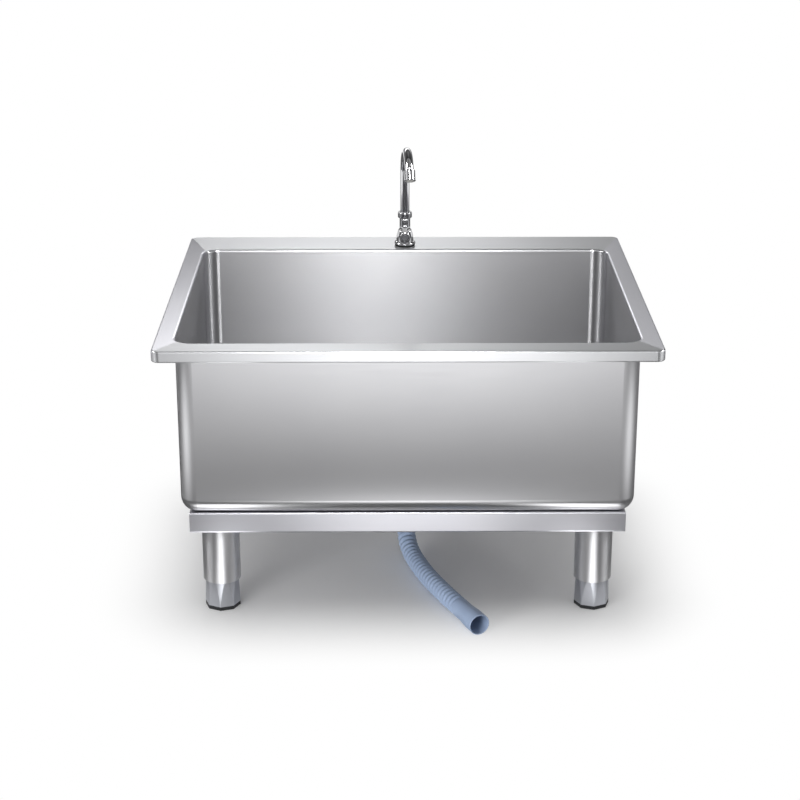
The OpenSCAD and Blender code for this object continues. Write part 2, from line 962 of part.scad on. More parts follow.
// Pin through basket and plug, with the knob that lifts them
module basket_knob() {
    knob_top = basket_z + basket_h + 2;
    color("silver")
        at_drain()
            rotate_extrude() {
                translate([0, cup_floor + 0.5])
                    square([3, knob_top - cup_floor - 4]);
                translate([0, basket_z + basket_t])
                    square([6, 1.5]);
                translate([0, knob_top - 6])
                    square([knob_d / 2 - 3, 6]);
                translate([knob_d / 2 - 3, knob_top - 3])
                    intersection() {
                        circle(3);
                        translate([0, -3])
                            square([3, 6]);
                    }
            }
}

// ---------------------------------------------------------------- elbow and hose

// Ribbed nut that clamps the elbow to the outlet neck
module coupling_nut() {
    grip_r = neck_r + 6;
    ribs = 18;
    color("white")
        at_drain()
            difference() {
                union() {
                    translate([0, 0, coupling_z])
                        cylinder(r = grip_r, h = coupling_l);
                    for (k = [0:ribs - 1])
                        rotate(360 / ribs * k)
                            translate([grip_r - 1, -1.5, coupling_z + 2])
                                cube([2.5, 3, coupling_l - 4]);
                }
                translate([0, 0, coupling_z - 1])
                    cylinder(r = elbow_ro + free_gap, h = coupling_l + 2);
                translate([0, 0, coupling_z + coupling_floor])
                    cylinder(r = neck_r + thread_gap, h = coupling_l);
            }
}

// Tapered rubber ring squeezed between the neck's end and the nut
module cone_washer() {
    color("dimgray")
        at_drain()
            rotate_extrude()
                polygon([
                    [elbow_ro + running_gap, neck_z - cone_t], [neck_r - 1, neck_z - cone_t],
                    [neck_r - 0.2, neck_z - cone_t / 2], [neck_r - 0.2, neck_z],
                    [elbow_ro + running_gap, neck_z]
                ]);
}

// Puts a child at the elbow's outlet, with +Z pointing out of it
module at_outlet() {
    translate([0, drain_y - elbow_throw, elbow_out])
        rotate([180 - elbow_turn, 0, 0])
            children();
}

// The elbow: a straight top in the coupling, a bend, and an outlet with a collar that
// the hose stops at and a barbed spigot that the hose is pushed over
module drain_elbow() {
    bore_r = elbow_bore_d / 2;
    outlet_r = elbow_ro + 0.5;
    outlet_l = elbow_leg + 0.5;
    collar_t = 2;
    spigot = spigot_d / 2;
    barb = spigot_l / 4;
    color("white") {
        at_drain() {
            ring(elbow_ro, bore_r, elbow_top - elbow_bend_z, elbow_bend_z);
            translate([0, -elbow_r, elbow_bend_z])
                rotate([90, 0, 90])
                    rotate_extrude(angle = -elbow_turn)
                        translate([elbow_r, 0])
                            difference() {
                                circle(elbow_ro);
                                circle(bore_r);
                            }
        }
        at_outlet()
            rotate_extrude()
                difference() {
                    union() {
                        translate([0, -outlet_l])
                            square([outlet_r, outlet_l]);
                        translate([0, -collar_t])
                            square([hose_r, collar_t]);
                        polygon([
                            [0, 0], [spigot - 0.8, 0], [spigot - 0.8, barb],
                            [spigot, barb], [spigot - 0.8, 2 * barb],
                            [spigot, 2 * barb], [spigot - 0.8, 3 * barb],
                            [spigot, 3 * barb], [spigot - 1.2, spigot_l],
                            [0, spigot_l]
                        ]);
                    }
                    translate([0, -outlet_l - 1])
                        square([bore_r - 0.2, outlet_l + spigot_l + 2]);
                }
    }
}

// The route as one smooth curve: a uniform cubic B-spline, straight at both ends
route_last = len(ROUTE) - 1;
function route_point(i) =
    i < 0 ? 2 * ROUTE[0] - ROUTE[1] :
    i > route_last ? 2 * ROUTE[route_last] - ROUTE[route_last - 1] :
    ROUTE[i];
function curve_in(i, u) =
    ((1 - u) ^ 3 * route_point(i - 1)
    + (3 * u ^ 3 - 6 * u ^ 2 + 4) * route_point(i)
    + (3 * u ^ 2 - 3 * u ^ 3 + 3 * u + 1) * route_point(i + 1)
    + u ^ 3 * route_point(i + 2)) / 6;
function curve(t) = let (i = min(floor(t), route_last - 1)) curve_in(i, t - i);

// Length along the curve, as a table that lookup() turns into a place on it
curve_step = 0.125;
curve_ts = [for (t = [0:curve_step:route_last]) t];
function lengths(k = 0, sum = 0) =
    k == len(curve_ts) ? [] :
    let (s = k == 0 ? 0 : sum + norm(curve(curve_ts[k]) - curve(curve_ts[k - 1])))
    concat([[s, curve_ts[k]]], lengths(k + 1, s));
length_table = lengths();
hose_l = length_table[len(length_table) - 1][0];
function at_length(s) = curve(lookup(s, length_table));
function heading(s) =
    let (a = at_length(max(s - 1, 0)), b = at_length(min(s + 1, hose_l)))
    (b - a) / norm(b - a);

// A ring of points square to the hose, with one point straight below the centre
function ring_points(s, r) =
    let (ahead = heading(s), across = cross(ahead, [0, 0, 1]), side = across / norm(across),
        up = cross(side, ahead))
    [for (k = [0:hose_ring_sides - 1])
        let (a = 360 / hose_ring_sides * k)
        at_length(s) + r * (cos(a) * side + sin(a) * up)];

// Ribbed outside from the clamp to the cuff, then the plain bore back again
rib_count = floor((hose_l - hose_smooth - hose_last) / rib_pitch);
rib_step = (hose_l - hose_smooth - hose_last) / rib_count;
outer_stations = concat(
    [[0, hose_plain_r], [hose_smooth, hose_plain_r]],
    [for (k = [0:rib_count - 1], part = [0, 1])
        [hose_smooth + (k + 0.25 + part / 2) * rib_step, hose_r - part * rib_depth]],
    [[hose_l - hose_last, hose_plain_r], [hose_l, hose_plain_r]]
);
inner_stations = [for (k = [rib_count:-1:0]) [hose_l * k / rib_count, hose_bore_r]];
hose_rings = [for (s = concat(outer_stations, inner_stations)) ring_points(s[0], s[1])];
hose_faces = [
    for (i = [0:len(hose_rings) - 1], k = [0:hose_ring_sides - 1])
        let (
            next_i = (i + 1) % len(hose_rings),
            next_k = (k + 1) % hose_ring_sides,
            a = i * hose_ring_sides + k,
            b = i * hose_ring_sides + next_k,
            c = next_i * hose_ring_sides + next_k,
            d = next_i * hose_ring_sides + k
        )
        each [[a, b, c], [a, c, d]]
];

module drain_hose() {
    color("lightsteelblue")
        polyhedron(points = [for (r = hose_rings) each r], faces = hose_faces);
}

// Puts a child at the hose's free end, with +Z pointing out along the cuff
module at_hose_end() {
    end = ROUTE[route_last];
    way = end - ROUTE[route_last - 1];
    translate(end)
        rotate([0, 0, atan2(way[1], way[0])])
            rotate([0, 90, 0])
                children();
}

// Smooth moulded cuff: as thick as the hose at first, then flared to a straight mouth
module hose_cuff() {
    shoulder = 5;
    flare_start = cuff_l / 3;
    flare_end = cuff_l * 2 / 3;
    mouth_r = cuff_d / 2;
    wall = (cuff_d - cuff_bore_d) / 2;
    color("lightsteelblue")
        at_hose_end()
            rotate_extrude() {
                polygon([
                    [hose_bore_r, 0], [hose_r, 0], [hose_r, flare_start],
                    [mouth_r, flare_end], [mouth_r, cuff_l - wall / 2],
                    [mouth_r - wall, cuff_l - wall / 2],
                    [mouth_r - wall, flare_end], [hose_r - wall, flare_start],
                    [hose_r - wall, shoulder], [hose_bore_r, shoulder]
                ]);
                translate([mouth_r - wall / 2, cuff_l - wall / 2])
                    circle(wall / 2);
            }
}

clamp_r = hose_plain_r + running_gap;
clamp_at = 8;

// Band of the hose clamp, with the housing that its screw turns in
module hose_clamp() {
    color("silver")
        at_outlet()
            translate([0, 0, clamp_at])
                difference() {
                    union() {
                        cylinder(r = clamp_r + 0.8, h = clamp_w);
                        translate([-6, clamp_r - 1, 0])
                            cube([12, 9, clamp_w]);
                    }
                    translate([0, 0, -1])
                        cylinder(r = clamp_r, h = clamp_w + 2);
                    translate([-7, clamp_r + 4.4, clamp_w / 2])
                        rotate([0, 90, 0])
                            cylinder(r = 2.5 + thread_gap, h = 14);
                }
}

module clamp_screw() {
    color("gray")
        at_outlet()
            translate([-6, clamp_r + 4.4, clamp_at + clamp_w / 2])
                rotate([0, 90, 0]) {
                    cylinder(r = 2.5, h = 15);
                    translate([0, 0, 12 + free_gap])
                        cylinder(d = 7 / cos(30), h = 4, $fn = 6);
                }
}

// ---------------------------------------------------------------- tap

// Half outline of the body: rounded base, belly, hollow shoulder, neck and thread
module tap_outline() {
    base_r = tap_base_d / 2;
    bead_r = 4;
    belly_curve = 75;
    belly_z = gasket_t + 2 * bead_r;
    shoulder_h = 11;
    shoulder_z = valve_up + 16.5 - shoulder_h;
    shoulder_r = tap_body_r - belly_curve
        + sqrt(belly_curve ^ 2 - (shoulder_z - belly_z) ^ 2);
    hollow = shoulder_r - neck_tap_r;
    hollow_r = (shoulder_h ^ 2 + hollow ^ 2) / (2 * hollow);
    translate([0, gasket_t]) {
        square([base_r - bead_r, 2 * bead_r]);
        translate([base_r - bead_r, bead_r])
            circle(bead_r, $fn = 32);
    }
    intersection() {
        translate([tap_body_r - belly_curve, belly_z])
            circle(belly_curve);
        translate([0, gasket_t])
            square([tap_body_r + 1, shoulder_z - gasket_t]);
    }
    difference() {
        translate([0, shoulder_z])
            square([shoulder_r, shoulder_h]);
        translate([neck_tap_r + hollow_r - 0.3, shoulder_z + shoulder_h])
            circle(hollow_r);
    }
    translate([0, gasket_t])
        square([neck_tap_r, spout_nut_z]);
    translate([0, spout_nut_z - 0.5])
        square([thread_r, body_top - spout_nut_z + 0.5]);
}

module tap_body() {
    color("silver")
        at_tap()
            difference() {
                union() {
                    rotate_extrude()
                        tap_outline();
                    translate([0, 0, valve_up])
                        rotate([90, 0, 0])
                            cylinder(d = valve_boss_d, h = valve_boss_l);
                    translate([0, 0, -shank_upper])
                        cylinder(r = shank_r, h = shank_upper + gasket_t + 1);
                    translate([0, 0, -shank_upper - 2])
                        cylinder(r = shank_r - 0.9, h = 3);
                    translate([0, 0, -shank_l])
                        cylinder(r = shank_r, h = shank_l - shank_upper - 2);
                }
                translate([0, 0, tail_z - 2])
                    cylinder(r = socket_r, h = body_top);
                translate([0, 0, valve_up])
                    cylinder(r = 5.5, h = tail_z - valve_up);
                translate([0, 0, -shank_l - 1])
                    cylinder(r = 7, h = shank_l + valve_up - 6);
                translate([0, 0, valve_up])
                    rotate([90, 0, 0])
                        cylinder(r = cartridge_r + running_gap, h = valve_boss_l + 1);
            }
}

module tap_gasket() {
    color("black")
        at_tap()
            ring(tap_base_d / 2 - 1, shank_r + free_gap, gasket_t);
}

module tap_washer() {
    color("dimgray")
        at_tap()
            ring(shank_r + 7, shank_r + free_gap, washer_tap_t, deck_under - washer_tap_t);
}

module tap_backnut() {
    color("goldenrod")
        at_tap()
            translate([0, 0, deck_under - washer_tap_t - backnut_h])
                hex_nut(2 * shank_r + 7, shank_r + thread_gap, backnut_h);
}

// Puts a child on the valve's axis, with +Z pointing out of the boss to the front
module at_valve() {
    at_tap()
        translate([0, 0, valve_up])
            rotate([90, 0, 0])
                children();
}

module valve_cartridge() {
    color("goldenrod")
        at_valve()
            ring(cartridge_r, spindle_r + running_gap, cartridge_l, valve_boss_l - cartridge_l);
}

// Screwed ring over the cartridge
module valve_bonnet() {
    bonnet_r = valve_boss_d / 2;
    color("silver")
        at_valve()
            translate([0, 0, valve_boss_l])
                difference() {
                    rotate_extrude() {
                        square([bonnet_r, bonnet_l - 1.5]);
                        square([bonnet_r - 1.5, bonnet_l]);
                        translate([bonnet_r - 1.5, bonnet_l - 1.5])
                            quarter_disc(1.5);
                    }
                    translate([0, 0, -1])
                        cylinder(r = spindle_r + free_gap, h = bonnet_l + 2);
                }
}

// Spindle that the lever turns, from the cartridge out into the lever's hub
module valve_spindle() {
    start = valve_boss_l - cartridge_l + 2;
    color("goldenrod")
        at_valve()
            difference() {
                union() {
                    translate([0, 0, start])
                        cylinder(r = spindle_r, h = hub_back - start);
                    translate([0, 0, start])
                        cylinder(r = drive_r, h = hub_back + drive_l - start);
                }
                translate([0, 0, hub_back - 4])
                    cylinder(r = 1.5 + thread_gap, h = 10);
            }
}

// Upright lever: round hub, tapered stalk with a bead, and a drop-shaped end
module tap_lever() {
    hub_r = lever_hub_d / 2;
    hub_round = 2.5;
    waist_r = 2.8;
    root_r = 5.2;
    bead_r = 4;
    drop_r = 5.7;
    drop_up = lever_l - drop_r;
    color("silver")
        at_valve()
            translate([0, 0, hub_back])
                difference() {
                    union() {
                        rotate_extrude() {
                            square([hub_r, hub_l - hub_round]);
                            square([hub_r - hub_round, hub_l]);
                            translate([hub_r - hub_round, hub_l - hub_round])
                                quarter_disc(hub_round);
                        }
                        translate([0, 0, hub_l / 2])
                            rotate([-90, 0, 0])
                                rotate_extrude()
                                    intersection() {
                                        union() {
                                            polygon([
                                                [0, 0], [root_r, 0], [root_r, hub_r - 1],
                                                [waist_r, hub_r + 8], [waist_r, drop_up],
                                                [0, drop_up]
                                            ]);
                                            translate([0, hub_r + 11])
                                                circle(bead_r);
                                            translate([0, drop_up])
                                                circle(drop_r);
                                        }
                                        square([drop_r, lever_l]);
                                    }
                    }
                    translate([0, 0, -1])
                        cylinder(r = drive_r + running_gap, h = drive_l + 1);
                    translate([0, 0, -1])
                        cylinder(r = 1.5 + thread_gap, h = hub_l + 2);
                    translate([0, 0, hub_l - 4])
                        cylinder(r = 6, h = 5);
                }
}

module lever_screw() {
    color("gray")
        at_valve()
            translate([0, 0, hub_back]) {
                translate([0, 0, -2])
                    cylinder(r = 1.5, h = hub_l - 2);
                translate([0, 0, hub_l - 4])
                    cylinder(r = 3, h = 1.6);
            }
}

// Round cap that hides the screw, with one turned groove
module lever_cap() {
    cap_r = 6 - thread_gap;
    color("lightgray")
        at_valve()
            translate([0, 0, hub_back + hub_l - 2.2])
                difference() {
                    cylinder(r = cap_r, h = 3);
                    translate([0, 0, 2.4])
                        ring(cap_r - 1.6, cap_r - 2.6, 1);
                }
}

// Nut screwed on the body's top, with the lip that keeps the spout down
module spout_nut() {
    nut_r = spout_nut_d / 2;
    round_r = 2.5;
    lip_z = body_top + tail_collar_t + 2 * thread_gap;
    color("silver")
        at_tap()
            difference() {
                translate([0, 0, spout_nut_z])
                    rotate_extrude() {
                        square([nut_r - round_r, spout_nut_h]);
                        translate([0, round_r])
                            square([nut_r, spout_nut_h - 2 * round_r]);
                        translate([nut_r - round_r, spout_nut_h - round_r])
                            quarter_disc(round_r);
                        translate([nut_r - round_r, round_r])
                            mirror([0, 1])
                                quarter_disc(round_r);
                    }
                translate([0, 0, spout_nut_z - 1])
                    cylinder(r = thread_r + thread_gap, h = lip_z - spout_nut_z + 1);
                cylinder(r = spout_r + free_gap, h = spout_nut_z + spout_nut_h + 1);
            }
}

// Puts a child at the tap with +X pointing out over the bowl along the spout
module along_spout() {
    at_tap()
        rotate(-90 + spout_swing)
            children();
}

// Puts a child at the end of the spout's tip, with +Z pointing out of the mouth
module at_mouth() {
    along_spout()
        translate([
            arch_r + arch_r * cos(180 - arch_turn),
            0,
            arch_up + arch_r * sin(180 - arch_turn)
        ])
            rotate([0, arch_turn, 0])
                translate([0, 0, spout_tip])
                    children();
}

// Swan neck: grooved tail, collar, upright tube, arch and straight tip
module spout() {
    tail_h = body_top + thread_gap - tail_z;
    bore_r = spout_r - spout_t;
    color("silver")
        along_spout() {
            difference() {
                union() {
                    translate([0, 0, tail_z])
                        cylinder(r = spigot_r, h = tail_h);
                    translate([0, 0, body_top + thread_gap])
                        cylinder(r = tail_collar_r, h = tail_collar_t);
                    translate([0, 0, body_top + thread_gap + tail_collar_t])
                        cylinder(r = spout_r, h = arch_up - body_top - thread_gap - tail_collar_t);
                }
                for (z = [4, 11])
                    translate([0, 0, tail_z + z])
                        ring(
                            spigot_r + 1,
                            spigot_r - 2 * o_ring_r - thread_gap,
                            2 * o_ring_r + 0.2
                        );
                translate([0, 0, tail_z - 1])
                    cylinder(r = 5, h = tail_h + 10);
                translate([0, 0, body_top + tail_collar_t])
                    cylinder(r = bore_r, h = arch_up);
            }
            translate([arch_r, 0, arch_up])
                rotate([90, 0, 0])
                    rotate([0, 0, 180])
                        rotate_extrude(angle = -arch_turn)
                            translate([arch_r, 0])
                                difference() {
                                    circle(spout_r);
                                    circle(bore_r);
                                }
        }
    color("silver")
        at_mouth()
            ring(spout_r - 0.1, bore_r - 0.1, spout_tip + 0.5, -spout_tip - 0.5);
}

module spout_o_rings() {
    color("black")
        along_spout()
            for (z = [4, 11])
                translate([0, 0, tail_z + z + o_ring_r + 0.1])
                    rotate_extrude()
                        translate([spigot_r - o_ring_r - running_gap, 0])
                            circle(o_ring_r);
}

// Sleeve on the spout's tip that holds the aerator
module aerator_housing() {
    sleeve_r = aerator_d / 2;
    color("silver")
        at_mouth()
            translate([0, 0, -aerator_grip])
                difference() {
                    rotate_extrude() {
                        translate([0, 1])
                            square([sleeve_r, aerator_l - 3]);
                        square([sleeve_r - 1, 1]);
                        translate([sleeve_r - 1, 1])
                            mirror([0, 1])
                                quarter_disc(1);
                        translate([0, aerator_l - 2])
                            square([sleeve_r - 2, 2]);
                        translate([sleeve_r - 2, aerator_l - 2])
                            quarter_disc(2);
                    }
                    translate([0, 0, -1])
                        cylinder(r = spout_r + thread_gap, h = aerator_grip + 1);
                    translate([0, 0, aerator_grip - 1])
                        cylinder(r = spout_r, h = aerator_l);
                }
}

// Round insert with rings of jets that mixes air into the water
module aerator_insert() {
    insert_r = spout_r - thread_gap;
    color("white")
        at_mouth()
            translate([0, 0, aerator_l - aerator_grip - insert_t - 1])
                difference() {
                    cylinder(r = insert_r, h = insert_t);
                    for (row = [1, 2, 3], k = [0:6 * row - 1])
                        rotate(60 / row * k)
                            translate([row * 2.4, 0, insert_t - 2])
                                cylinder(d = 1.5, h = 3, $fn = 6);
                }
}

// ---------------------------------------------------------------- nodes

rim_strip(0);  // rim_front
rim_strip(1);  // rim_right
rim_rear();
rim_strip(3);  // rim_left
bowl();
tap_stiffener();
frame_rail(0);  // frame_front
frame_rail(1);  // frame_right
frame_rail(2);  // frame_rear
frame_rail(3);  // frame_left
frame_bearers();
bearer_pads();
corner_gussets();
leg_sockets();
socket_washers();
socket_nuts();
leg_grub_screws();
leg_tube(0, 0);  // leg_tube_front_left
leg_tube(1, 0);  // leg_tube_front_right
leg_tube(0, 1);  // leg_tube_rear_left
leg_tube(1, 1);  // leg_tube_rear_right
foot_shell(0, 0);  // foot_shell_front_left
foot_shell(1, 0);  // foot_shell_front_right
foot_shell(0, 1);  // foot_shell_rear_left
foot_shell(1, 1);  // foot_shell_rear_right
foot_pad(0, 0);  // foot_pad_front_left
foot_pad(1, 0);  // foot_pad_front_right
foot_pad(0, 1);  // foot_pad_rear_left
foot_pad(1, 1);  // foot_pad_rear_right
leg_inserts();
drain_flange();
drain_gasket_top();
drain_gasket_low();
drain_slip_ring();
drain_locknut();
coupling_nut();
cone_washer();
drain_elbow();
drain_hose();
hose_cuff();
hose_clamp();
clamp_screw();
strainer_basket();
basket_plug();
basket_knob();
tap_body();
tap_gasket();
tap_washer();
tap_backnut();
valve_cartridge();
valve_bonnet();
valve_spindle();
tap_lever();
lever_screw();
lever_cap();
spout_nut();
spout();
spout_o_rings();
aerator_housing();
aerator_insert();
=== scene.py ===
# %% [markdown]
# # Mop service sink
# A deep stainless bowl hangs in a mitred rim, on a folded frame with four levelling
# feet. A chrome swan-neck tap stands on the rear ledge and a ribbed hose runs out from
# under the bowl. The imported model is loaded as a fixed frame, and this file gives every
# piece of it its real finish.

# %% Load the frame
import math

import bmesh
import bpy
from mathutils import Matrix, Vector


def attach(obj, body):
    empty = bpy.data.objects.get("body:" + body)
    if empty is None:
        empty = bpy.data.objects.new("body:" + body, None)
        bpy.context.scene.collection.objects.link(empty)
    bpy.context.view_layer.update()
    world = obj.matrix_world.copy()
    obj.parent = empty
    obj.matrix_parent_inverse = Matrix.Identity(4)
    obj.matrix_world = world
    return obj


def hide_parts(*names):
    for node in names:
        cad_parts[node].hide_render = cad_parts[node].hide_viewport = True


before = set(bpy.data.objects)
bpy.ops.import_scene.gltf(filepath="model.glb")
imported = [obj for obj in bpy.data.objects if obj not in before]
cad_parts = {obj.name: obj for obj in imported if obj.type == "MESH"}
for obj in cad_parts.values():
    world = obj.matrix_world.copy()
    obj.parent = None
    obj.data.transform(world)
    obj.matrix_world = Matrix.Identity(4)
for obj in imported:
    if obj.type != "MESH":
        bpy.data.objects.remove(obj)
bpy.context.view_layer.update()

# %% [markdown]
# ## The camera
# The photograph looks down on the sink from the front. The camera's place was worked
# out from the corners of the rim and the bowl, whose sizes are known, so the render
# lines up with the photograph. A long lens keeps the verticals nearly parallel.

# %% Camera at the photograph's view
PITCH, YAW = math.radians(20.09), math.radians(-0.36)
CAMERA_PLACE, LENS_MM, SENSOR_MM = (-0.03425, -3.51529, 1.59702), 85.57, 36
camera = bpy.data.objects.new("camera", bpy.data.cameras.new("camera"))
bpy.context.scene.collection.objects.link(camera)
camera.location = CAMERA_PLACE
camera.rotation_euler = (math.pi / 2 - PITCH, 0, YAW)
camera.data.lens, camera.data.sensor_width = LENS_MM, SENSOR_MM
bpy.context.scene.camera = camera
print("camera at", tuple(round(v, 3) for v in camera.location))

# %% [markdown]
# ## The drain hose
# The hose is a corrugated plastic pipe. It leaves the elbow at 45 degrees, bends down
# to the floor and runs forward to its cuff. Its route is a smooth curve through a few
# chosen points, the same ones that the solid model follows, so the pipe lies exactly
# where the solid hose is.

# %% Route of the hose
ROUTE = [Vector(p) / 1000 for p in (
    (0, 8, 88), (0, -2, 78), (0, -12, 68), (0, -23, 57), (0, -42, 42.5), (3, -62, 31),
    (9, -85, 22.5), (16.5, -110, 18.5), (25, -139, 18), (34, -170, 18), (45, -201, 18),
    (57, -231, 18), (69, -260, 18.5), (79, -286, 19.5), (85.5, -301, 20),
    (91.5, -314, 20), (97.5, -327, 20),
)]
STEPS_PER_SPAN = 64


def spline_point(t):
    """A place on the uniform B-spline of the route, straight at both ends."""
    i = min(int(t), len(ROUTE) - 2)
    u = t - i
    ends = [2 * ROUTE[0] - ROUTE[1], *ROUTE, 2 * ROUTE[-1] - ROUTE[-2]]
    weights = (
        (1 - u) ** 3, 3 * u**3 - 6 * u**2 + 4, 3 * u**2 - 3 * u**3 + 3 * u + 1, u**3
    )
    return sum((w * ends[i + k] for k, w in enumerate(weights)), Vector()) / 6


SPANS = len(ROUTE) - 1
FINE = [spline_point(k / STEPS_PER_SPAN) for k in range(STEPS_PER_SPAN * SPANS + 1)]
# RUN holds how far along the hose each of the fine points lies
RUN = [0.0]
for a, b in zip(FINE, FINE[1:]):
    RUN.append(RUN[-1] + (b - a).length)
HOSE_LENGTH = RUN[-1]


def on_hose(s):
    """The point that lies s metres along the hose."""
    k = next((i for i, r in enumerate(RUN) if r >= s), len(RUN) - 1)
    k = max(k, 1)
    share = (s - RUN[k - 1]) / (RUN[k] - RUN[k - 1])
    return FINE[k - 1].lerp(FINE[k], min(max(share, 0), 1))


print("hose length:", round(HOSE_LENGTH, 4))

# %% [markdown]
# A corrugated pipe is blown into a mould, so each rib is a full round wave and its ends
# are plain. The cross-section of one side, outside and bore, is spun once round a
# straight axis, and the straight pipe is then laid along the route: each vertex keeps
# its offset from the axis and takes its place from the curve.

# %% Outline of the ribbed hose
HOSE_R, RIB_DEPTH, RIB_PITCH, BORE_R = 0.018, 0.002, 0.012, 0.0135
PLAIN_START, PLAIN_END = 0.024, 0.003
ROWS_PER_RIB, HOSE_SIDES = 10, 40
ribbed = HOSE_LENGTH - PLAIN_START - PLAIN_END
ribs = math.floor(ribbed / RIB_PITCH)
rib_step = ribbed / ribs


def rib_radius(s):
    """Outside radius of the hose s metres along it."""
    if s < PLAIN_START or s > HOSE_LENGTH - PLAIN_END:
        return HOSE_R - RIB_DEPTH / 2
    wave = math.cos(2 * math.pi * ((s - PLAIN_START) / rib_step - 0.25))
    # The power squares off crests and grooves a little, as a mould does
    wave = math.copysign(abs(wave) ** 0.7, wave)
    return HOSE_R - RIB_DEPTH / 2 + RIB_DEPTH / 2 * wave


rows = [k * HOSE_LENGTH / (ribs * ROWS_PER_RIB) for k in range(ribs * ROWS_PER_RIB + 1)]
outline = [(rib_radius(s), s) for s in rows]
outline += [(BORE_R, s) for s in reversed(rows[::ROWS_PER_RIB // 2])]
print("ribs:", ribs, "outline points:", len(outline))


# %% Ribbed hose, spun and laid
def lay_on_hose(mesh_bm):
    """Moves a straight piece along Z onto the hose's curve."""
    for v in mesh_bm.verts:
        s = min(max(v.co.z, 0), HOSE_LENGTH)
        ahead = on_hose(min(s + 0.001, HOSE_LENGTH)) - on_hose(max(s - 0.001, 0))
        ahead.normalize()
        side = ahead.cross(Vector((0, 0, 1))).normalized()
        v.co = on_hose(s) + side * v.co.x + side.cross(ahead) * v.co.y


bm = bmesh.new()
chain = [bm.verts.new((r, 0, s)) for r, s in outline]
edges = [bm.edges.new((a, b)) for a, b in zip(chain, chain[1:] + chain[:1])]
bmesh.ops.spin(
    bm, geom=chain + edges, cent=(0, 0, 0), axis=(0, 0, 1), angle=2 * math.pi,
    steps=HOSE_SIDES, use_merge=True,
)
lay_on_hose(bm)
bmesh.ops.recalc_face_normals(bm, faces=bm.faces)
for face in bm.faces:
    face.smooth = True


def new_piece(name, mesh_bm, body):
    """Turns a finished bmesh into an object that rides on a body."""
    mesh = bpy.data.meshes.new(name)
    mesh_bm.to_mesh(mesh)
    mesh_bm.free()
    obj = bpy.data.objects.new(name, mesh)
    bpy.context.scene.collection.objects.link(obj)
    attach(obj, body)
    print(name, "faces:", len(mesh.polygons))
    return obj


hose = new_piece("ribbed_hose", bm, "sink")
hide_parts("drain_hose")

# %% [markdown]
# ## Colours and node helper
# Colours are written as sRGB hex values, and Blender's shaders want them linear, so one
# function turns them over. Another adds one node with its settings and links, and every
# material below is built with these two.

# %% Colour and node helpers
def hex_colour(code):
    """An sRGB hex value as linear RGBA."""
    parts = [int(code[i:i + 2], 16) / 255 for i in (0, 2, 4)]
    return tuple(
        c / 12.92 if c <= 0.04045 else ((c + 0.055) / 1.055) ** 2.4 for c in parts
    ) + (1.0,)


def add_node(tree, kind, settings=None, values=None, links=None):
    """Adds a node, sets its properties and socket values, and links its inputs."""
    made = tree.nodes.new(kind)
    for key, value in (settings or {}).items():
        setattr(made, key, value)
    for key, value in (values or {}).items():
        made.inputs[key].default_value = value
    for key, source in (links or {}).items():
        tree.links.new(source, made.inputs[key])
    return made


def new_material(name, shader_values):
    """An empty material with a Principled shader, returned with its tree and shader."""
    material = bpy.data.materials.new(name)
    material.use_nodes = True
    shader = material.node_tree.nodes["Principled BSDF"]
    for key, value in shader_values.items():
        shader.inputs[key].default_value = value
    return material, material.node_tree, shader


def dress(material, *names):
    """Gives a material to CAD nodes or pieces."""
    for name in names:
        obj = bpy.data.objects[name]
        obj.data.materials.clear()
        obj.data.materials.append(material)
    print(material.name, "on pieces:", len(names))


print("middle grey in linear light:", round(hex_colour("808080")[0], 3))

# %% [markdown]
# ## Stainless steel sheet
# The rim, bowl and frame are austenitic stainless steel sheet, rolled and then satin
# ground. The grinding leaves scratches a tenth of a millimetre apart that all run along
# one strip. They spread the gloss across themselves and hardly along themselves, which
# is what Anisotropic does, and the tangent is the way in which the gloss spreads. The
# scratches are too fine to show at this distance and are drawn as streaks a millimetre
# or two wide, which change the roughness and, very slightly, the height. To the eye the
# sheet is a soft mirror, with each light drawn out across the grinding.

# %% Satin stainless steel
# Width of a streak in metres, many times a real scratch so that it can show, how many
# times longer than wide it is, and its depth in metres
STREAK, STREAK_LENGTHS, STREAK_DEPTH = 0.0016, 60, 0.0001


